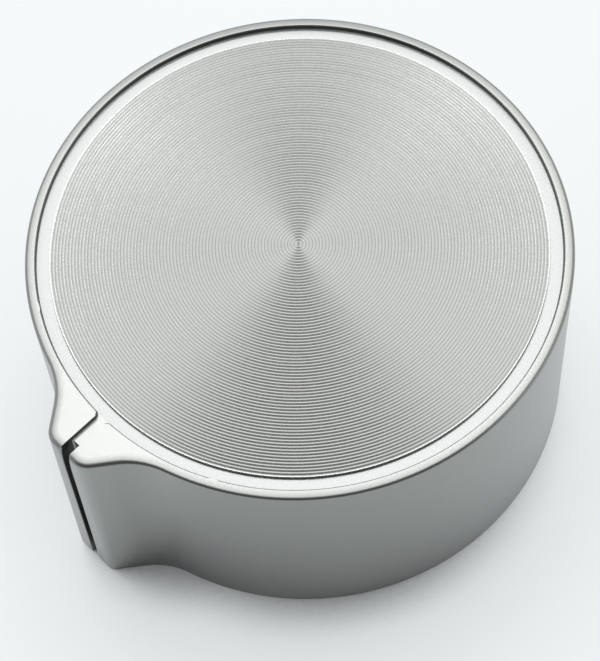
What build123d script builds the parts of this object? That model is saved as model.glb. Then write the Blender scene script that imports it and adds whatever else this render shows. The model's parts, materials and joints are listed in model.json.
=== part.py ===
from build123d import *
import os
from math import cos, radians, sqrt, tan

# Stove knob: a die-cast zinc shell with a pointer nose, a turned aluminium face plate
# stuck into its top, and a spring clip that grips the valve shaft from below.
# Millimetres. Z runs up the shaft axis from the plane the base rests on, and the
# pointer looks towards -Y.

# Round shell
body_height = 20.5
side_draft = 1.55           # degrees, widening downwards
rim_width = 0.85            # lip left round the recess
top_edge_chamfer = 0.3
base_edge_chamfer = 0.2
wall_thickness = 2.0
deck_thickness = 2.0        # metal under the face plate's pocket
deck_corner_chamfer = 1.0

# Pointer
pointer_reach = 3.0         # past the round wall
pointer_tip_width_top = 3.9
pointer_tip_width_base = 4.5
pointer_flank_angle = 44.0  # degrees between a flank and the pointer's axis
pointer_corner_radius = 1.0
pointer_blend_radius = 6.0  # hollow where a flank runs into the round wall

# Indicator groove, along the pointer's top and down its front
groove_width_top = 0.9
groove_width_base = 0.8
groove_depth = 1.3          # into the pointer's front
groove_mouth_radius = 0.4   # corners where the groove opens into the recess

# Recess and face plate
recess_depth = 0.6
ring_width = 1.05           # floor left showing round the plate
plate_diameter = 38.0
plate_thickness = 0.8
plate_below_rim = 0.25
plate_side_clearance = 0.1
adhesive_thickness = 0.1
adhesive_margin = 0.5       # adhesive stops this far inside the plate's edge
turned_pitch = 1.0
turned_depth = 0.06
turned_land = 0.2           # plain band left at the plate's edge

# Shaft boss
shaft_diameter = 8.0
shaft_across_flat = 6.5
shaft_clearance = 0.05      # all round the shaft
boss_wall = 2.7
boss_draft = 1.0            # degrees
boss_lift = 2.0             # boss end above the base
socket_roof = 1.85          # metal between the socket and the deck's underside
socket_lead_in = 0.4
rib_count = 4
rib_thickness = 1.6
rib_depth = 8.0             # below the deck

# Spring clip between the shaft's flat and the boss
clip_thickness = 0.3
clip_width = 4.8
clip_side_clearance = 0.2
clip_pocket_depth = 1.4     # behind the flat
clip_back_clearance = 0.03
clip_preload = 0.25         # how far the leaf stands past the flat
clip_lip = 1.3              # lip bent under the boss
clip_bend_radius = 0.6
clip_end_clearance = 0.8
clip_bow_rise = (0.18, 0.42)    # shares of the leaf's height where it leaves the back wall
clip_bow_fall = (0.6, 0.86)     # and where it returns to it

# Worked out from the sizes above
plate_radius = plate_diameter / 2
recess_radius = plate_radius + ring_width
top_radius = recess_radius + rim_width
base_radius = top_radius + body_height * tan(radians(side_draft))
ring_z = body_height - recess_depth
plate_top_z = body_height - plate_below_rim
plate_seat_z = plate_top_z - plate_thickness
pocket_z = plate_seat_z - adhesive_thickness
deck_z = pocket_z - deck_thickness
socket_radius = shaft_diameter / 2 + shaft_clearance
flat_y = -(shaft_across_flat - shaft_diameter / 2 + shaft_clearance)
socket_top_z = deck_z - socket_roof
boss_radius = socket_radius + boss_wall
clip_pocket_y = flat_y - clip_pocket_depth
past = 1.0                  # how far a cutting shape runs past the face it opens


def wall_radius(z):
    """Radius of the round outer wall at height z."""
    return base_radius - z * tan(radians(side_draft))


def disc(radius, low_z, high_z):
    return Pos(0, 0, low_z) * Solid.make_cylinder(radius, high_z - low_z)


def crossings(sketch, radius):
    """Corners where straight edges meet the sketch's circle, on the pointer's side."""
    return [v for v in sketch.vertices() if v.Y < 0 and abs(sqrt(v.X**2 + v.Y**2) - radius) < 1e-4]


def pointer_plan(z, tip_width):
    """The pointer's wedge at height z, its root inside the round wall."""
    radius = wall_radius(z)
    tip_y = -(radius + pointer_reach)
    root_y = -radius * cos(radians(45))
    root_half = tip_width / 2 + (root_y - tip_y) * tan(radians(pointer_flank_angle))
    with BuildSketch(Plane.XY.offset(z)) as sketch:
        with BuildLine():
            Polyline(
                (-tip_width / 2, tip_y),
                (tip_width / 2, tip_y),
                (root_half, root_y),
                (-root_half, root_y),
                close=True,
            )
        make_face()
    return sketch.sketch


def upright_edges(solid):
    """Edges that run the full height on the pointer's side, from its tip to its roots."""
    edges = [e for e in solid.edges() if e.bounding_box().size.Z > 0.9 * body_height]
    return sorted((e for e in edges if e.center().Y < -top_radius / 2), key=lambda e: e.center().Y)


def shell_blank():
    """Solid outer form: a drafted round wall with the pointer blended in and its ends eased."""
    base = pointer_plan(0, pointer_tip_width_base)
    top = pointer_plan(body_height, pointer_tip_width_top)
    blank = Solid.make_cone(base_radius, top_radius, body_height) + loft([base, top], ruled=True)
    blank = fillet(upright_edges(blank)[2:4], pointer_blend_radius)
    blank = fillet(upright_edges(blank)[:2], pointer_corner_radius)
    blank = chamfer(blank.faces().sort_by(Axis.Z)[0].edges(), base_edge_chamfer)
    return chamfer(blank.faces().sort_by(Axis.Z)[-1].edges(), top_edge_chamfer)


def face_recess():
    """Cutter for the round recess and the groove that leads out of it over the pointer."""
    run = wall_radius(body_height) + pointer_reach + past
    with BuildSketch(Plane.XY.offset(ring_z)) as sketch:
        Circle(recess_radius)
        with Locations((0, -run / 2)):
            Rectangle(groove_width_top, run)
        fillet(crossings(sketch, recess_radius), groove_mouth_radius)
    pocket = disc(plate_radius + plate_side_clearance, pocket_z, body_height + past)
    return extrude(sketch.sketch, recess_depth + past) + pocket


def front_groove():
    """Cutter for the groove down the pointer's front, narrowing towards the base."""
    sections = []
    for z, width in ((0, groove_width_base), (body_height, groove_width_top)):
        back_y = -(wall_radius(z) + pointer_reach - groove_depth)
        run = groove_depth + past
        sections.append(Pos(0, back_y - run / 2, z) * Rectangle(width, run))
    return loft(sections, ruled=True)


def hollow():
    """Cutter for the space under the deck, parallel to the outer wall."""
    mouth = wall_radius(0) - wall_thickness
    roof = wall_radius(deck_z) - wall_thickness
    space = Solid.make_cone(mouth, roof, deck_z)
    return chamfer(space.edges().sort_by(Axis.Z)[-1], deck_corner_chamfer)


def boss():
    """Tapered boss hanging from the deck, stiffened by radial ribs."""
    length = deck_z - boss_lift
    root_radius = boss_radius + length * tan(radians(boss_draft))
    core = Pos(0, 0, boss_lift) * Solid.make_cone(boss_radius, root_radius, length + deck_thickness / 2)
    rib_reach = wall_radius(deck_z - rib_depth) - wall_thickness / 2
    rib = Pos(rib_reach / 2, 0, deck_z - rib_depth / 2) * Box(rib_reach, rib_thickness, rib_depth)
    first = Rot(0, 0, 180 / rib_count)
    ribs = [first * Rot(0, 0, k * 360 / rib_count) * rib for k in range(rib_count)]
    return core + ribs


def shaft_socket():
    """Cutter for the D-shaped socket, open at the boss end."""
    depth = socket_top_z - boss_lift
    beyond_flat = (Align.CENTER, Align.MAX)
    with BuildSketch(Plane.XY.offset(boss_lift)) as sketch:
        Circle(socket_radius)
        with Locations((0, flat_y)):
            Rectangle(2 * socket_radius, socket_radius, align=beyond_flat, mode=Mode.SUBTRACT)
    lead_in = Solid.make_cone(socket_radius + socket_lead_in, socket_radius, socket_lead_in)
    return extrude(sketch.sketch, depth) + Pos(0, 0, boss_lift) * lead_in


def clip_pocket():
    """Cutter for the pocket behind the flat, its mouth eased for the clip's bend."""
    ease = clip_bend_radius - clip_thickness / 2
    with BuildSketch(Plane.YZ) as sketch:
        with BuildLine():
            Polyline(
                (0, boss_lift - past),
                (clip_pocket_y - ease - past, boss_lift - past),
                (clip_pocket_y, boss_lift + ease),
                (clip_pocket_y, socket_top_z),
                (0, socket_top_z),
                close=True,
            )
        make_face()
    return extrude(sketch.sketch, clip_width / 2 + clip_side_clearance, both=True)


def knob_body():
    body = shell_blank() - face_recess() - front_groove() - hollow()
    return body + boss() - shaft_socket() - clip_pocket()


def face_plate():
    """Turned disc: concentric V grooves from the edge land to the centre."""
    half = turned_pitch / 2
    count = int((plate_radius - turned_land) / turned_pitch)
    profile = [(0, 0), (plate_radius, 0), (plate_radius, plate_thickness)]
    outer = plate_radius - turned_land
    for k in range(count):
        crest = outer - k * turned_pitch
        profile += [(crest, plate_thickness), (crest - half, plate_thickness - turned_depth)]
    profile += [(outer - count * turned_pitch, plate_thickness), (0, plate_thickness)]
    with BuildSketch(Plane.XZ) as sketch:
        with BuildLine():
            Polyline(*profile, close=True)
        make_face()
    return Pos(0, 0, plate_seat_z) * revolve(sketch.sketch, Axis.Z)


def plate_adhesive():
    return disc(plate_radius - adhesive_margin, pocket_z, plate_seat_z)


def shaft_clip():
    """Bowed leaf of spring steel, hooked under the boss by a bent lip."""
    back = clip_pocket_y + clip_back_clearance + clip_thickness / 2
    bow = flat_y + clip_preload - clip_thickness / 2
    low = boss_lift - clip_thickness / 2
    high = socket_top_z - clip_end_clearance
    span = high - low
    path = FilletPolyline(
        (0, back - clip_lip, low),
        (0, back, low),
        (0, back, low + clip_bow_rise[0] * span),
        (0, bow, low + clip_bow_rise[1] * span),
        (0, bow, low + clip_bow_fall[0] * span),
        (0, back, low + clip_bow_fall[1] * span),
        (0, back, high),
        radius=clip_bend_radius,
    )
    start = Plane(origin=path @ 0, x_dir=(1, 0, 0), z_dir=path % 0)
    return sweep(start * Rectangle(clip_width, clip_thickness), path)


pieces = {
    "knob_body": knob_body(),
    "face_plate": face_plate(),
    "plate_adhesive": plate_adhesive(),
    "shaft_clip": shaft_clip(),
}

os.makedirs("parts", exist_ok=True)
for name, piece in pieces.items():
    export_step(piece, f"parts/{name}.step")
    print(name, round(piece.volume, 2), piece.is_valid)
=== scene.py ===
import json
import math
from functools import partial

import bmesh
import bpy
from mathutils import Matrix, Vector, noise

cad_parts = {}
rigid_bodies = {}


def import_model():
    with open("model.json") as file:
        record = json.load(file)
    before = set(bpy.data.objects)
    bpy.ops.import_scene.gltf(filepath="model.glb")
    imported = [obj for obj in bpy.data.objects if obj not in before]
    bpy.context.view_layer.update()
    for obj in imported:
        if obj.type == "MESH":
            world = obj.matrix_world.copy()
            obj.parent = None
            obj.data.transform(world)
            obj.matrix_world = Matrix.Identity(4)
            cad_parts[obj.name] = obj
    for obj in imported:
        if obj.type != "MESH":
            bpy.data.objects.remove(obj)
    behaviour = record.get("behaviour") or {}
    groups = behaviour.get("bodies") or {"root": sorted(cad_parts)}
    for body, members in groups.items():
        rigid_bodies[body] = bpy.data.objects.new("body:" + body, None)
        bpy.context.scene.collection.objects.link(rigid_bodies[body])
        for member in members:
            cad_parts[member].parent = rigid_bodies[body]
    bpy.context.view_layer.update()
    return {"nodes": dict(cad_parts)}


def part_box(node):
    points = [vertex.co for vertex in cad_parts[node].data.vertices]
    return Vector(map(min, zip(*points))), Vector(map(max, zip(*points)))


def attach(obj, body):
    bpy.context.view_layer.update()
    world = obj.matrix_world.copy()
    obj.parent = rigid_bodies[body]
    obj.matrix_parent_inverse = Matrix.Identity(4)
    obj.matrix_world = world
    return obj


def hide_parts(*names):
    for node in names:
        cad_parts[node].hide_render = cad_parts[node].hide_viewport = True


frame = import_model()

# Stove knob: a die-cast shell with a pointer, a turned aluminium disc stuck in its top,
# and the spring clip and film that come with them. Z runs up the shaft axis and the
# pointer looks towards -Y. Sizes are millimetres where nothing else is said.

mm = 0.001
bodyLow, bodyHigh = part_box("knob_body")
plateLow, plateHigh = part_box("face_plate")


def paint(hexCode):
    channels = [int(hexCode[i:i + 2], 16) / 255 for i in (1, 3, 5)]
    return [c / 12.92 if c <= 0.04045 else ((c + 0.055) / 1.055) ** 2.4 for c in channels] + [1]


def addNode(tree, kind, settings=None, inputs=None):
    # inputs: a socket to link from, or a plain value
    node = tree.nodes.new(kind)
    for key, value in (settings or {}).items():
        setattr(node, key, value)
    for key, value in (inputs or {}).items():
        if isinstance(value, bpy.types.NodeSocket):
            tree.links.new(value, node.inputs[key])
        else:
            node.inputs[key].default_value = value
    return node


def addMath(tree, operation, a, b=0.0, c=0.0):
    return addNode(tree, "ShaderNodeMath", {"operation": operation}, {0: a, 1: b, 2: c}).outputs[0]


def newObject(name, mesh):
    piece = bpy.data.objects.new(name, mesh)
    bpy.context.scene.collection.objects.link(piece)
    return piece


def settle(piece):
    # bakes the modifiers into a plain mesh
    graph = bpy.context.evaluated_depsgraph_get()
    mesh = bpy.data.meshes.new_from_object(piece.evaluated_get(graph), depsgraph=graph)
    piece.modifiers.clear()
    piece.data = mesh
    return piece


def loftSolid(name, rows):
    # closed solid through rows of (x, y, z), each row counterclockwise from above
    build = bmesh.new()
    loops = [[build.verts.new(Vector(p) * mm) for p in row] for row in rows]
    for low, high in zip(loops, loops[1:]):
        for i in range(len(low)):
            j = (i + 1) % len(low)
            build.faces.new((low[i], low[j], high[j], high[i]))
    build.faces.new(list(reversed(loops[0])))
    build.faces.new(loops[-1])
    mesh = bpy.data.meshes.new(name)
    build.to_mesh(mesh)
    build.free()
    return newObject(name, mesh)


def combine(solid, tool, operation="DIFFERENCE"):
    step = solid.modifiers.new(operation.title(), "BOOLEAN")
    step.operation, step.solver, step.object = operation, "EXACT", tool
    settle(solid)
    bpy.data.objects.remove(tool)
    return solid


def growFromNodes(name, tree, values):
    piece = newObject(name, bpy.data.meshes.new(name))
    step = piece.modifiers.new("Nodes", "NODES")
    step.node_group = tree
    sockets = {s.name: s.identifier for s in tree.interface.items_tree if s.in_out == "INPUT"}
    for key, value in values.items():
        step[sockets[key]] = value
    return settle(piece)


def mirrored(half):
    # closes a right-hand half plan whose two ends lie on the middle line
    return half + [(-x, y) for x, y in reversed(half[1:-1])]


def quarterTurn(steps):
    # angles from 0 to 90 degrees
    return [math.radians(90 * k / steps) for k in range(steps + 1)]


def arcPoints(centre, radius, start, end, steps):
    return [(centre[0] + radius * math.cos(start + (end - start) * k / steps),
             centre[1] + radius * math.sin(start + (end - start) * k / steps))
            for k in range(steps + 1)]


def circleRow(radius, z, steps):
    return [(radius * math.cos(2 * math.pi * k / steps), radius * math.sin(2 * math.pi * k / steps), z)
            for k in range(steps)]


# the casting: round wall, pointer, rim, sunk ring floor and hollow underside
shell = {
    "height": bodyHigh.z / mm,
    "wideRadius": bodyHigh.x / mm,      # round wall at the base
    "draft": 1.68,                      # degrees
    "pointerReaches": (3.2, 3.1),       # past the round wall: base, top
    "tipWidths": (3.85, 3.65),          # base, top
    "tipCorners": (0.9, 1.6),           # radius: base, top
    "flankAngle": 38.0,                 # degrees from the pointer's axis
    "blend": 6.0,                       # hollow radius between flank and wall
    "topRound": 0.25,
    "tipRound": 0.36,                   # softer round the pointer
    "softFrom": 19.8,                   # how far forward the softer edge begins
    "softOver": 2.0,                    # how far it takes to grow
    "crown": (0.85, 0.028),             # the top falls away towards its edge: width, drop
    "baseRound": 0.2,
    "wallRows": (0.4, 4, 8, 12, 16),    # heights
    "besideRounds": (0.05, 0.15),       # extra rows, so the flats shade flat: base, top
    "recessDepth": 0.42,
    "recessRadius": 20.05,
    "recessCorner": 0.1,                # round at its foot
    "recessBreak": 0.1,                 # edge broken by the tool
    "crispShare": 0.15,                 # what is left of the break where the edge is crisp
    "crispFrom": 20.3,                  # how far forward it turns crisp, along the channel
    "bridged": ((27.7, 1.1), (-30.7, 0.8)),  # lacquer fills it: degrees from the pointer, half width
    "dish": 0.09,                       # how much deeper the ring floor is beside the plate
    "dishBand": 0.15,                   # level band at the recess wall
    "pocketRadius": plateHigh.x / mm + 0.004,  # the plate drops in with hardly a gap
    "film": 0.1,                        # under the plate
    "channelWidth": 0.9,                # along the pointer's top
    "mouthCorner": 0.4,                 # where the channel leaves the recess
    "slotWidths": (0.8, 0.88),          # down the pointer's front: base, top
    "slotDepth": 1.3,
    "slotCorner": 0.1,
    "slotBreak": (0.07, 0.154167, 0.3),  # edge radius low down, half way, at the top
    "slotFlare": (2.5, 1.1, 0.35),      # depths under the rim where those begin
    "wall": 2.0,
    "deck": 2.0,
    "deckCorner": 1.0,
    "hollowRows": (0, 6, 12),           # heights
    "creaseAngle": 32.0,                # degrees
    "smallSteps": 3,                    # on the base round and the recess's broken edge
    "cornerSteps": 5,                   # at the recess's foot and under the deck
    "straightSteps": 4,
    "arcSteps": 10,
    "edgeSteps": 7,
    "crownSteps": 4,
    "slotSteps": 6,
    "mouthSteps": 8,
    "roundSteps": 120,                  # along half of the round wall
    "recessSteps": 180,                 # along half of the recess
    "hollowSteps": 160,
}
pocketFloor = plateLow.z / mm - shell["film"]
deckZ = pocketFloor - shell["deck"]     # underside of the deck
overlap = 0.5                           # shapes that meet run this far into or past each other
clear = 1.0                             # cutters from outside start this far away
pastPointer = 26.0                      # from the axis


def wallRadius(z):
    return shell["wideRadius"] + (shell["baseRound"] - z) * math.tan(math.radians(shell["draft"]))


def upTheWall(name, z):
    # a value given for the base and the top, at height z
    base, top = shell[name]
    return base + (top - base) * z / shell["height"]


def frontFace(z):
    return -wallRadius(z) - upTheWall("pointerReaches", z)


def shellPlan(z, inset):
    # the outline at height z, moved inwards by inset
    radius, steps = wallRadius(z), shell["straightSteps"]
    flank = math.radians(shell["flankAngle"])
    along = Vector((math.sin(flank), math.cos(flank)))
    out = Vector((math.cos(flank), -math.sin(flank)))
    corner = Vector((upTheWall("tipWidths", z) / 2, frontFace(z)))
    bend = upTheWall("tipCorners", z)
    cut = bend * math.tan((math.pi / 2 - flank) / 2)
    front = corner.y + inset
    points = [((corner.x - cut) * k / steps, front) for k in range(steps)]
    tipCentre = (corner.x - cut, corner.y + bend)
    points += arcPoints(tipCentre, bend - inset, -math.pi / 2, -flank, shell["arcSteps"])
    # the blend touches the flank and the round wall
    start = corner + out * shell["blend"]
    side = start.dot(along)
    reach = -side - math.sqrt(side ** 2 - start.length_squared + (radius + shell["blend"]) ** 2)
    blendCentre = start + along * reach
    toFlank = math.atan2(-out.y, -out.x)
    toWall = math.atan2(-blendCentre.y, -blendCentre.x)
    if toWall < toFlank - math.pi:
        toWall += 2 * math.pi
    blend = arcPoints(blendCentre, shell["blend"] + inset, toFlank, toWall, shell["arcSteps"])
    last, first = Vector(points[-1]), Vector(blend[0])
    points += [tuple(last.lerp(first, k / steps)) for k in range(1, steps)] + blend
    join = math.atan2(blendCentre.y, blendCentre.x)
    points += arcPoints((0, 0), radius - inset, join, math.pi / 2, shell["roundSteps"])[1:]
    points[-1] = (0, radius - inset)
    return mirrored(points)


def blankRows(top):
    # how far in and how high each row lies, for one rounding of the top edge
    base, draft = shell["baseRound"], math.radians(shell["draft"])
    crownWidth, crownDrop = shell["crown"]
    besideBase, besideTop = shell["besideRounds"]
    edgeSteps, crownSteps = shell["edgeSteps"], shell["crownSteps"]
    shoulder = shell["height"] - crownDrop
    rows = [(base + besideBase, 0)]
    rows += [(base * (1 - math.sin(t)), base * (1 - math.cos(t)))
             for t in quarterTurn(shell["smallSteps"])]
    rows += [(0, z) for z in (*shell["wallRows"], shoulder - top - besideTop)]
    for k in range(edgeSteps + 1):
        t = draft + (math.pi / 2 - draft) * k / edgeSteps
        rows.append((top * (1 - math.cos(t)), shoulder - top + top * math.sin(t)))
    for k in range(1, crownSteps + 1):
        fall = crownDrop * (1 - k / crownSteps) ** 2
        rows.append((top + (crownWidth - top) * k / crownSteps, shell["height"] - fall))
    return rows


def castBlank():
    # the top edge is rounded more softly round the pointer, and one rounding grows into the other
    rows = []
    for (inset, z), (tipInset, tipZ) in zip(blankRows(shell["topRound"]), blankRows(shell["tipRound"])):
        row = []
        for plain, tip in zip(shellPlan(z, inset), shellPlan(tipZ, tipInset)):
            share = min(max((-plain[1] - shell["softFrom"]) / shell["softOver"], 0), 1)
            share *= share * (3 - 2 * share)
            row.append(tuple(Vector((*plain, z)).lerp(Vector((*tip, tipZ)), share)))
        rows.append(row)
    return loftSolid("knobBody", rows)


def recessPlan(grow):
    # the round recess and the channel that leaves it over the pointer
    half = shell["channelWidth"] / 2 + grow
    radius, corner = shell["recessRadius"] + grow, shell["mouthCorner"] - grow
    across = half + corner
    centre = (across, -math.sqrt((radius + corner) ** 2 - across ** 2))
    toWall = math.atan2(-centre[1], -centre[0])
    mouth, face = shell["slotBreak"][-1], frontFace(shell["height"])
    points = [(0, -pastPointer), (half + mouth, -pastPointer)]
    points += arcPoints((half + mouth, face + mouth), mouth, -math.pi / 2, -math.pi, shell["slotSteps"])
    points += arcPoints(centre, corner, math.pi, toWall, shell["mouthSteps"])
    join = math.atan2(centre[1], centre[0])
    points += arcPoints((0, 0), radius, join, math.pi / 2, shell["recessSteps"])[1:]
    points[-1] = (0, radius)
    return mirrored(points)


def crispThere(x, y):
    # along the channel, and where lacquer fills the broken edge
    turn = math.degrees(math.atan2(x, -y))
    return -y > shell["crispFrom"] or any(abs(turn - at) < half for at, half in shell["bridged"])


def recessTool():
    # rounded at its foot, with its edge broken but for the crisp places
    height, edge, corner = shell["height"], shell["recessBreak"], shell["recessCorner"]
    floorZ, left = height - shell["recessDepth"], shell["crispShare"]
    rows = []
    for t in quarterTurn(shell["cornerSteps"]):
        grow = corner * (math.sin(t) - 1)
        rows.append((grow, grow, floorZ + corner * (1 - math.cos(t))))
    for t in quarterTurn(shell["smallSteps"]):
        grow = edge * (1 - math.cos(t))
        rows.append((grow, grow * left, height - edge + edge * math.sin(t)))
    rows.append((edge * 2, edge * left + edge, height + overlap))
    tool = []
    for grow, crisp, z in rows:
        plans = zip(recessPlan(grow), recessPlan(crisp))
        tool.append([(*(hard if crispThere(*hard) else eased), z) for eased, hard in plans])
    return loftSolid("recessTool", tool)


def pocketTool():
    # the plate's pocket, and the shallow dish round it
    height = shell["height"]
    floorZ = height - shell["recessDepth"]
    inner, outer = shell["pocketRadius"], shell["recessRadius"] - shell["dishBand"]
    rows = ((inner, pocketFloor), (inner, floorZ - shell["dish"]), (outer, floorZ), (outer, height))
    return loftSolid("pocketTool", [circleRow(radius, z, disc["segments"]) for radius, z in rows])


def slotTool():
    # the groove down the pointer's front, its edges broken more towards the top
    levels = [(-clear, shell["slotBreak"][0])]
    levels += [(shell["height"] - drop, edge) for drop, edge in zip(shell["slotFlare"], shell["slotBreak"])]
    corner = shell["slotCorner"]
    rows = []
    for z, edge in levels:
        half, face = upTheWall("slotWidths", z) / 2, frontFace(z)
        back = face + shell["slotDepth"]
        side = [(0, face - clear), (half + edge, face - clear)]
        side += arcPoints((half + edge, face + edge), edge, -math.pi / 2, -math.pi, shell["slotSteps"])
        side += [(half, back - corner), (half - corner, back), (0, back)]
        rows.append([(x, y, z) for x, y in mirrored(side)])
    return loftSolid("slotTool", rows)


def hollowTool():
    # follows the wall's draft, so the wall is even
    corner = shell["deckCorner"]
    rows = [(-clear, 0)]
    rows += [(z, 0) for z in (*shell["hollowRows"], deckZ - corner)]
    rows += [(deckZ - corner + corner * math.sin(t), corner * (1 - math.cos(t)))
             for t in quarterTurn(shell["cornerSteps"])[1:]]
    return loftSolid("hollowTool", [
        circleRow(wallRadius(z) - shell["wall"] - inset, z, shell["hollowSteps"]) for z, inset in rows])


# the broken place on the groove's edge
chip = {
    "place": (0.43, -23.05, 20.1),
    "radius": 0.3,
    "lumps": 2.2,                       # over its radius
    "roughness": 0.45,                  # share of the radius
    "seed": 3,
}


def chipTool():
    # a small uneven lump that bites out of the edge
    build = bmesh.new()
    bmesh.ops.create_icosphere(build, subdivisions=3, radius=chip["radius"])
    for v in build.verts:
        rough = noise.noise(v.co * chip["lumps"] / chip["radius"] + Vector((chip["seed"], 0, 0)))
        v.co = v.co * (1 + chip["roughness"] * rough)
    bmesh.ops.transform(build, matrix=Matrix.Translation(chip["place"]), verts=build.verts)
    bmesh.ops.scale(build, vec=(mm, mm, mm), verts=build.verts)
    mesh = bpy.data.meshes.new("chipTool")
    build.to_mesh(mesh)
    build.free()
    return newObject("chipTool", mesh)


# under the deck: the boss with its socket, the clip's pocket and the ribs
boss = {
    "lift": 2.0,                        # its end above the base plane
    "radius": 6.75,
    "draft": 1.0,                       # degrees
    "edgeBreak": 0.15,
    "steps": 96,
    "socketRadius": 4.05,
    "socketSteps": 60,
    "flat": 2.55,                       # socket flat from the axis, pointer side
    "leadIn": 0.4,
    "leadInPast": 0.3,                  # the cone runs on below the boss
    "roof": 1.85,                       # metal over the socket
    "ribs": 4,
    "ribStart": 5.0,                    # inside the boss, outside the socket
    "ribThickness": 1.6,
    "ribDepth": 8.0,
    "pocketWidth": 5.2,
    "pocketInner": 1.2,                 # from the axis, inside the socket
    "pocketBack": 3.95,
    "pocketEase": 0.45,                 # wider at its mouth
    "pocketStep": 0.01,                 # its roof under the socket's, so the faces don't coincide
}
socketTop = deckZ - boss["roof"]


def bossCore():
    rise = math.tan(math.radians(boss["draft"]))
    lift, edge = boss["lift"], boss["edgeBreak"]
    rows = [(lift, -edge), (lift + edge, 0), (deckZ + overlap, 0)]
    return loftSolid("bossCore", [
        circleRow(boss["radius"] + ease + (z - lift) * rise, z, boss["steps"]) for z, ease in rows])


def socketTool():
    # round with one flat, opened by a short cone
    lift, leadIn, past = boss["lift"], boss["leadIn"], boss["leadInPast"]
    rows = []
    for grow, z in ((leadIn + past, lift - past), (0, lift + leadIn), (0, socketTop)):
        radius = boss["socketRadius"] + grow
        start = -math.asin(min(boss["flat"] + grow, radius) / radius)
        plan = arcPoints((0, 0), radius, start, math.pi - start, boss["socketSteps"])
        rows.append([(x, y, z) for x, y in plan])
    return loftSolid("socketTool", rows)


def clipPocketTool():
    half, inner = boss["pocketWidth"] / 2, boss["pocketInner"]
    back, ease, lift = boss["pocketBack"], boss["pocketEase"], boss["lift"]
    roof = socketTop - boss["pocketStep"]
    rows = []
    for z, y in ((lift - overlap, back + ease + overlap), (lift + ease, back), (roof, back)):
        rows.append([(-half, -y, z), (half, -y, z), (half, -inner, z), (-half, -inner, z)])
    return loftSolid("clipPocketTool", rows)


def ribTree():
    # straight ribs set round the boss
    tree = bpy.data.node_groups.new("bossRibs", "GeometryNodeTree")
    calc = partial(addMath, tree)
    tree.interface.new_socket("Count", in_out="INPUT", socket_type="NodeSocketInt")
    for name in ("Start", "Reach", "Thickness", "Depth", "Top"):
        tree.interface.new_socket(name, in_out="INPUT", socket_type="NodeSocketFloat")
    tree.interface.new_socket("Material", in_out="INPUT", socket_type="NodeSocketMaterial")
    tree.interface.new_socket("Mesh", in_out="OUTPUT", socket_type="NodeSocketGeometry")
    given = addNode(tree, "NodeGroupInput").outputs
    long = calc("SUBTRACT", given["Reach"], given["Start"])
    size = addNode(tree, "ShaderNodeCombineXYZ", inputs={
        "X": long, "Y": given["Thickness"], "Z": given["Depth"]})
    rib = addNode(tree, "GeometryNodeMeshCube", inputs={"Size": size.outputs[0]})
    middleX = calc("MULTIPLY_ADD", long, 0.5, given["Start"])
    middleZ = calc("MULTIPLY_ADD", given["Depth"], -0.5, given["Top"])
    place = addNode(tree, "ShaderNodeCombineXYZ", inputs={"X": middleX, "Z": middleZ})
    moved = addNode(tree, "GeometryNodeTransform", inputs={
        "Geometry": rib.outputs["Mesh"], "Translation": place.outputs[0]})
    spots = addNode(tree, "GeometryNodeMeshLine", inputs={"Count": given["Count"], "Offset": (0, 0, 0)})
    index = addNode(tree, "GeometryNodeInputIndex").outputs[0]
    share = calc("DIVIDE", calc("ADD", index, 0.5), given["Count"])
    spin = addNode(tree, "ShaderNodeCombineXYZ", inputs={"Z": calc("MULTIPLY", share, 2 * math.pi)})
    ribs = addNode(tree, "GeometryNodeInstanceOnPoints", inputs={
        "Points": spots.outputs[0], "Instance": moved.outputs[0], "Rotation": spin.outputs[0]})
    real = addNode(tree, "GeometryNodeRealizeInstances", inputs={"Geometry": ribs.outputs[0]})
    done = addNode(tree, "GeometryNodeSetMaterial", inputs={
        "Geometry": real.outputs[0], "Material": given["Material"]})
    addNode(tree, "NodeGroupOutput", inputs={"Mesh": done.outputs[0]})
    return tree


def smoothBody(piece):
    piece.data.shade_smooth()
    piece.data.set_sharp_from_angle(angle=math.radians(shell["creaseAngle"]))
    weights = piece.modifiers.new("Weights", "WEIGHTED_NORMAL")
    weights.keep_sharp = True
    return settle(piece)


def makeBody(finish):
    body = castBlank()
    for makeTool in (recessTool, pocketTool, slotTool, chipTool, hollowTool):
        combine(body, makeTool())
    combine(body, growFromNodes("ribs", ribTree(), {
        "Count": boss["ribs"], "Start": boss["ribStart"] * mm,
        "Reach": (wallRadius(deckZ) - shell["wall"] / 2) * mm, "Thickness": boss["ribThickness"] * mm,
        "Depth": (boss["ribDepth"] + overlap) * mm, "Top": (deckZ + overlap) * mm,
        "Material": finish}), "UNION")
    combine(body, bossCore(), "UNION")
    combine(body, socketTool())
    combine(body, clipPocketTool())
    body.data.materials.clear()
    body.data.materials.append(finish)
    for face in body.data.polygons:
        face.material_index = 0
    return smoothBody(body)


# the aluminium disc; here lengths are metres, as its node tree takes them
disc = {
    "radius": plateHigh.x,
    "bottom": plateLow.z,
    "top": plateHigh.z,
    "edgeBreak": 0.02 * mm,
    "land": 0.035 * mm,                 # plain band at the edge
    "pitch": 0.25 * mm,                 # one pass of the turning tool
    "depth": 0.045 * mm,
    "segments": 400,
    "wander": 0.001 * mm,               # how unevenly the tool cut
    "seed": 7,
    "creaseAngle": 12.0,                # degrees
    "weld": 0.001 * mm,
}


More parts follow.
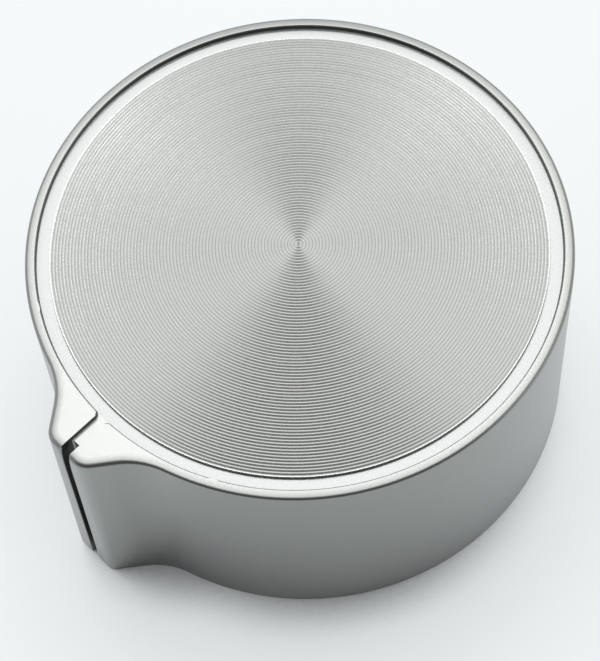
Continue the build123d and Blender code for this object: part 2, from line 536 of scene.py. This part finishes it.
def discTree():
    # a disc turned on a lathe: a profile of rows, each row a full circle
    tree = bpy.data.node_groups.new("turnedDisc", "GeometryNodeTree")
    calc = partial(addMath, tree)
    for name in ("Radius", "Bottom", "Top", "Edge break", "Land", "Pitch", "Depth", "Wander"):
        tree.interface.new_socket(name, in_out="INPUT", socket_type="NodeSocketFloat")
    for name in ("Segments", "Seed"):
        tree.interface.new_socket(name, in_out="INPUT", socket_type="NodeSocketInt")
    tree.interface.new_socket("Material", in_out="INPUT", socket_type="NodeSocketMaterial")
    tree.interface.new_socket("Mesh", in_out="OUTPUT", socket_type="NodeSocketGeometry")
    given = addNode(tree, "NodeGroupInput").outputs

    def choose(test, no, yes):
        return addNode(tree, "GeometryNodeSwitch", {"input_type": "FLOAT"}, {
            "Switch": test, "False": no, "True": yes}).outputs[0]

    def atLeast(a, b):
        return addNode(tree, "FunctionNodeCompare", {
            "data_type": "FLOAT", "operation": "GREATER_EQUAL"}, {0: a, 1: b}).outputs[0]

    # rows 0 to 3: underside centre, underside edge, side, broken edge; the last row closes the centre
    firstGroove = 4.0
    crest = calc("SUBTRACT", given["Radius"], given["Land"])
    halfPitch = calc("MULTIPLY", given["Pitch"], 0.5)
    passes = calc("FLOOR", calc("DIVIDE", crest, halfPitch))
    rowCount = calc("ADD", passes, firstGroove + 2)
    ringCount = calc("ADD", given["Segments"], 1.0)
    sheet = addNode(tree, "GeometryNodeMeshGrid", inputs={"Vertices X": rowCount, "Vertices Y": ringCount})
    index = addNode(tree, "GeometryNodeInputIndex").outputs[0]
    row = calc("FLOOR", calc("DIVIDE", calc("ADD", index, 0.5), ringCount))
    column = calc("SUBTRACT", index, calc("MULTIPLY", row, ringCount))
    turn = calc("MULTIPLY", calc("DIVIDE", column, given["Segments"]), 2 * math.pi)
    step = calc("SUBTRACT", row, firstGroove)
    uneven = addNode(tree, "FunctionNodeRandomValue", {"data_type": "FLOAT"}, {
        2: -1.0, 3: 1.0, "ID": row, "Seed": given["Seed"]}).outputs[1]
    grooveRadius = calc("MAXIMUM", calc("SUBTRACT", crest, calc("MULTIPLY", step, halfPitch)), 0.0)
    low = calc("MODULO", step, 2.0)
    drop = calc("MULTIPLY", low, calc("MULTIPLY_ADD", uneven, given["Wander"], given["Depth"]))
    grooveHeight = calc("SUBTRACT", given["Top"], drop)
    radius = choose(atLeast(row, 0.5), 0.0, given["Radius"])
    radius = choose(atLeast(row, 2.5), radius, calc("SUBTRACT", given["Radius"], given["Edge break"]))
    radius = choose(atLeast(row, 3.5), radius, grooveRadius)
    radius = choose(atLeast(row, calc("SUBTRACT", rowCount, 1.5)), radius, 0.0)
    height = choose(atLeast(row, 1.5), given["Bottom"], calc("SUBTRACT", given["Top"], given["Edge break"]))
    height = choose(atLeast(row, 2.5), height, given["Top"])
    height = choose(atLeast(row, 3.5), height, grooveHeight)
    x = calc("MULTIPLY", radius, calc("COSINE", turn))
    y = calc("MULTIPLY", radius, calc("SINE", turn))
    place = addNode(tree, "ShaderNodeCombineXYZ", inputs={"X": x, "Y": y, "Z": height})
    shaped = addNode(tree, "GeometryNodeSetPosition", inputs={
        "Geometry": sheet.outputs["Mesh"], "Position": place.outputs[0]})
    closed = addNode(tree, "GeometryNodeMergeByDistance", inputs={
        "Geometry": shaped.outputs[0], "Distance": disc["weld"]})
    # creases run round the disc, so the light breaks at each ridge but flows along it
    angle = addNode(tree, "GeometryNodeInputMeshEdgeAngle").outputs["Unsigned Angle"]
    crease = atLeast(angle, math.radians(disc["creaseAngle"]))
    even = addNode(tree, "FunctionNodeBooleanMath", {"operation": "NOT"}, {0: crease})
    smooth = addNode(tree, "GeometryNodeSetShadeSmooth", {"domain": "EDGE"}, {
        "Geometry": closed.outputs[0], "Shade Smooth": even.outputs[0]})
    real = addNode(tree, "GeometryNodeRealizeInstances", inputs={"Geometry": smooth.outputs[0]})
    done = addNode(tree, "GeometryNodeSetMaterial", inputs={
        "Geometry": real.outputs[0], "Material": given["Material"]})
    addNode(tree, "NodeGroupOutput", inputs={"Mesh": done.outputs[0]})
    return tree


def newFinish(name):
    finish = bpy.data.materials.new(name)
    finish.use_nodes = True
    finish.node_tree.nodes.clear()
    return finish, finish.node_tree


def endFinish(tree, shader):
    addNode(tree, "ShaderNodeOutputMaterial", inputs={"Surface": shader.outputs[0]})


def onPiece(tree):
    # where a point lies on the piece, in metres
    return addNode(tree, "ShaderNodeTexCoord").outputs["Object"]


def fromAxis(tree, where):
    flat = addNode(tree, "ShaderNodeVectorMath", {"operation": "MULTIPLY"}, {0: where, 1: (1, 1, 0)})
    far = addNode(tree, "ShaderNodeVectorMath", {"operation": "LENGTH"}, {0: flat.outputs[0]})
    return far.outputs["Value"]


def grainNoise(tree, where, size, detail=2.0):
    # noise with lumps of this size
    return addNode(tree, "ShaderNodeTexNoise", inputs={
        "Vector": where, "Scale": 1 / (size * mm), "Detail": detail}).outputs[0]


def mixPaint(tree, share, first, second):
    return addNode(tree, "ShaderNodeMix", {"data_type": "RGBA"}, {
        0: share, 6: paint(first), 7: paint(second)}).outputs[2]


lacquer = {
    "colour": "#929492",
    "recess": "#8A8C8B",                # painted shade on the sunk ring floor
    "recessBand": 0.05,                 # that tone ends this far inside the recess wall
    "roughness": (0.29, 0.39),
    "flake": 0.12,                      # size of the aluminium flakes' grain
    "peel": 0.5,                        # size of the orange peel
    "peelDepth": 0.02,
    "peelStrength": 0.05,
    "coatWeight": 0.3,                  # clear lacquer over the flakes
    "coatRoughness": 0.2,
}


def satinLacquer():
    # fine aluminium-flake lacquer sprayed on zinc die casting: soft grey sheen, faint peel, painted shade
    # on the sunk ring
    finish, tree = newFinish("satin silver lacquer, sprayed on die-cast zinc")
    calc = partial(addMath, tree)
    where = onPiece(tree)
    peel = grainNoise(tree, where, lacquer["peel"])
    flake = grainNoise(tree, where, lacquer["flake"], 1.0)
    # painted shade: the sunk ring gets a darker tone
    inside = calc("LESS_THAN", fromAxis(tree, where), (shell["recessRadius"] - lacquer["recessBand"]) * mm)
    height = addNode(tree, "ShaderNodeSeparateXYZ", inputs={0: where}).outputs["Z"]
    above = calc("GREATER_THAN", height, (shell["height"] - shell["deck"]) * mm)
    tint = mixPaint(tree, calc("MULTIPLY", inside, above), lacquer["colour"], lacquer["recess"])
    rough = addNode(tree, "ShaderNodeMapRange", inputs={
        0: flake, 3: lacquer["roughness"][0], 4: lacquer["roughness"][1]})
    bump = addNode(tree, "ShaderNodeBump", inputs={
        "Height": peel, "Strength": lacquer["peelStrength"], "Distance": lacquer["peelDepth"] * mm})
    endFinish(tree, addNode(tree, "ShaderNodeBsdfPrincipled", inputs={
        "Base Color": tint, "Metallic": 1.0, "Roughness": rough.outputs[0], "Normal": bump.outputs[0],
        "Coat Weight": lacquer["coatWeight"], "Coat Roughness": lacquer["coatRoughness"]}))
    return finish


turned = {
    "ridge": "#D8DAD7",
    "valleyShade": "#B2B4B1",
    "valleyEdge": (0.04, 0.2),          # where the painted shade fades out: shares of the pitch, from the bottom of a pass
    "grain": 0.12,
    "grainEdge": (0.3, 0.7),            # noise values that the two roughnesses stand for
    "roughness": (0.18, 0.28),
}


def turnedAluminium():
    # aluminium sheet faced on a lathe: bright ridges, with painted shade greying the bottom of each pass
    finish, tree = newFinish("aluminium, turned on a lathe")
    calc = partial(addMath, tree)
    where = onPiece(tree)
    fromLand = calc("SUBTRACT", disc["radius"] - disc["land"], fromAxis(tree, where))
    inward = calc("DIVIDE", fromLand, disc["pitch"])
    fromValley = calc("ABSOLUTE", calc("SUBTRACT", calc("FRACT", inward), 0.5))
    # painted shade: darker towards the bottom of each pass
    valleyShade = addNode(tree, "ShaderNodeMapRange", {"interpolation_type": "SMOOTHSTEP"}, {
        0: fromValley, 1: turned["valleyEdge"][0], 2: turned["valleyEdge"][1], 3: 1.0, 4: 0.0}).outputs[0]
    rough = addNode(tree, "ShaderNodeMapRange", inputs={
        0: grainNoise(tree, where, turned["grain"]), 1: turned["grainEdge"][0], 2: turned["grainEdge"][1],
        3: turned["roughness"][0], 4: turned["roughness"][1]})
    endFinish(tree, addNode(tree, "ShaderNodeBsdfPrincipled", inputs={
        "Base Color": mixPaint(tree, valleyShade, turned["ridge"], turned["valleyShade"]),
        "Metallic": 1.0, "Roughness": rough.outputs[0]}))
    return finish


film = {"colours": ("#E4E3DD", "#EFEEE9"), "cloud": 1.5, "roughness": 0.6}


def adhesiveFilm():
    # double-sided acrylic tape stamped to size: milky, dull, slightly cloudy
    finish, tree = newFinish("acrylic film, die-cut")
    cloud = grainNoise(tree, onPiece(tree), film["cloud"])
    endFinish(tree, addNode(tree, "ShaderNodeBsdfPrincipled", inputs={
        "Base Color": mixPaint(tree, cloud, *film["colours"]), "Roughness": film["roughness"]}))
    return finish


steel = {
    "colour": "#A9A8A6",
    "lines": (6000, 400, 400),          # grain per metre: fine along X, drawn out along Y and Z
    "roughness": (0.25, 0.45),
}


def springSteel():
    # cold-rolled strip bent to shape: grey metal with fine lines along the roll
    finish, tree = newFinish("spring steel strip, rolled")
    lines = addNode(tree, "ShaderNodeMapping", inputs={"Vector": onPiece(tree), "Scale": steel["lines"]})
    grain = addNode(tree, "ShaderNodeTexNoise", inputs={"Vector": lines.outputs[0], "Scale": 1.0})
    rough = addNode(tree, "ShaderNodeMapRange", inputs={
        0: grain.outputs[0], 3: steel["roughness"][0], 4: steel["roughness"][1]})
    endFinish(tree, addNode(tree, "ShaderNodeBsdfPrincipled", inputs={
        "Base Color": paint(steel["colour"]), "Metallic": 1.0, "Roughness": rough.outputs[0]}))
    return finish


body = makeBody(satinLacquer())
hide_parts("knob_body")
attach(body, "root")
print("body:", len(body.data.polygons), "faces")

plate = growFromNodes("facePlate", discTree(), {
    "Radius": disc["radius"], "Bottom": disc["bottom"], "Top": disc["top"], "Edge break": disc["edgeBreak"],
    "Land": disc["land"], "Pitch": disc["pitch"], "Depth": disc["depth"], "Wander": disc["wander"],
    "Segments": disc["segments"], "Seed": disc["seed"], "Material": turnedAluminium()})
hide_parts("face_plate")
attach(plate, "root")
print("disc:", len(plate.data.polygons), "faces")

for node, finish in (("plate_adhesive", adhesiveFilm()), ("shaft_clip", springSteel())):
    mesh = frame["nodes"][node].data
    mesh.materials.clear()
    mesh.materials.append(finish)
    print(node + ":", finish.name)

# the table and the light tent; lengths in metres
studio = {
    "floor": "#A6ABAB",
    "floorSize": 3.0,                   # half its width
    "liftColour": "#FAFDFF",
    "floorLift": 0.588,                 # how far the paper glows up to white, seen directly or mirrored
    "liftReach": (0.019, 0.0062),       # the glow fades, a painted shadow, this close to the knob's front: mirrored, seen directly
    "liftLean": 65.0,                   # degrees the fade looks back from upright
    "liftEdge": (0.34, 0.64),           # shares of open sky where it starts and is full
    "liftCurve": 0.5,
    "skySamples": 12,
    "back": (-0.7576, 0.6528, 0),       # level direction from the knob to the back of the tent
    "lampDistance": 0.5,
    # turn from the back and height above the table (degrees), width, length, brightness
    "lamps": ((0, 66.5, 0.32, 0.235, 3.8),),
    "tent": 0.82,                       # white cloth all round
    "glow": (0, 0.95, 0.3),             # where the cloth is lit from behind: across, back, up
    "glowLevel": 0.95,
    "glowEdge": (0.6, 0.97),            # cosines of its soft edge
    "opening": (-0.1, -0.94, 0.36),     # where the front is left open: across, back, up
    "openingLevel": 0.15,
    "openingEdge": (0.36, 0.58),        # cosines of its soft edge
}


def tentDirection(across, back, up):
    backward = Vector(studio["back"])
    return backward.cross(Vector((0, 0, 1))) * across + backward * back + Vector((0, 0, up))


def layFloor():
    build = bmesh.new()
    bmesh.ops.create_grid(build, x_segments=1, y_segments=1, size=studio["floorSize"])
    mesh = bpy.data.meshes.new("floor")
    build.to_mesh(mesh)
    build.free()
    floor = newObject("floor", mesh)
    # matt paper, white to the eye; close to the knob it turns grey, partly real shade on the paper and
    # partly a painted shadow where its glow fades
    finish, tree = newFinish("paper, matt white")
    calc = partial(addMath, tree)
    path = addNode(tree, "ShaderNodeLightPath").outputs
    reflected = calc("MAXIMUM", path["Is Glossy Ray"], path["Is Transmission Ray"])
    seen = calc("MAXIMUM", path["Is Camera Ray"], reflected)
    # painted shadow: the glow fades where the knob closes off the sky towards the back
    lean = math.radians(studio["liftLean"])
    mirroredReach, directReach = studio["liftReach"]
    reach = addNode(tree, "ShaderNodeMapRange", inputs={
        0: path["Is Camera Ray"], 3: mirroredReach, 4: directReach})
    toShade = tentDirection(0, math.sin(lean), math.cos(lean))
    leaning = addNode(tree, "ShaderNodeCombineXYZ", inputs={"X": toShade.x, "Y": toShade.y, "Z": toShade.z})
    sky = addNode(tree, "ShaderNodeAmbientOcclusion", {"samples": studio["skySamples"]}, {
        "Distance": reach.outputs[0], "Normal": leaning.outputs[0]})
    away = addNode(tree, "ShaderNodeMapRange", inputs={
        0: sky.outputs["AO"], 1: studio["liftEdge"][0], 2: studio["liftEdge"][1]})
    fade = calc("POWER", away.outputs[0], studio["liftCurve"])
    lift = calc("MULTIPLY", calc("MULTIPLY", seen, studio["floorLift"]), fade)
    sheet = addNode(tree, "ShaderNodeBsdfDiffuse", inputs={"Color": paint(studio["floor"])})
    glow = addNode(tree, "ShaderNodeEmission", inputs={
        "Color": paint(studio["liftColour"]), "Strength": lift})
    endFinish(tree, addNode(tree, "ShaderNodeAddShader", inputs={0: sheet.outputs[0], 1: glow.outputs[0]}))
    mesh.materials.append(finish)


def hangLamps():
    for turn, height, width, length, brightness in studio["lamps"]:
        lamp = bpy.data.lights.new("softbox", "AREA")
        lamp.shape = "RECTANGLE"
        lamp.size, lamp.size_y = width, length
        lamp.energy = brightness * math.pi * width * length
        holder = bpy.data.objects.new("softbox", lamp)
        turn, height = math.radians(turn), math.radians(height)
        level = math.cos(height)
        aim = tentDirection(math.sin(turn) * level, math.cos(turn) * level, math.sin(height))
        across = Vector((0, 0, 1)).cross(aim).normalized()
        holder.location = aim * studio["lampDistance"]
        holder.rotation_euler = Matrix((across, aim.cross(across), aim)).transposed().to_euler()
        bpy.context.scene.collection.objects.link(holder)


def lightTent():
    # even white cloth, brighter low at the back, with a soft dark opening at the front
    world = bpy.data.worlds.new("tent")
    world.use_nodes = True
    tree = world.node_tree
    tree.nodes.clear()
    where = addNode(tree, "ShaderNodeTexCoord").outputs["Generated"]
    level = studio["tent"]
    for part in ("glow", "opening"):
        near = addNode(tree, "ShaderNodeVectorMath", {"operation": "DOT_PRODUCT"}, {
            0: where, 1: tentDirection(*studio[part]).normalized()})
        level = addNode(tree, "ShaderNodeMapRange", {"interpolation_type": "SMOOTHSTEP"}, {
            0: near.outputs["Value"], 1: studio[part + "Edge"][0], 2: studio[part + "Edge"][1],
            3: level, 4: studio[part + "Level"]}).outputs[0]
    shade = addNode(tree, "ShaderNodeBackground", inputs={"Color": (1, 1, 1, 1), "Strength": level})
    addNode(tree, "ShaderNodeOutputWorld", inputs={"Surface": shade.outputs[0]})
    bpy.context.scene.world = world


camera = {
    "lens": 98.994,
    "sensorWidth": 36,
    "nearest": 0.01,                    # metres
    "place": (0.051490, -0.043899, 0.140693),
    "turn": (26.5112, 2.4368, 45.1049),  # degrees
}


def setCamera():
    view = bpy.data.cameras.new("camera")
    view.lens, view.sensor_width, view.clip_start = camera["lens"], camera["sensorWidth"], camera["nearest"]
    holder = bpy.data.objects.new("camera", view)
    holder.location = camera["place"]
    holder.rotation_euler = [math.radians(angle) for angle in camera["turn"]]
    bpy.context.scene.collection.objects.link(holder)
    bpy.context.scene.camera = holder


layFloor()
hangLamps()
lightTent()
setCamera()
bpy.context.scene.view_settings.view_transform = "Standard"
print("studio:", len(studio["lamps"]), "softbox")
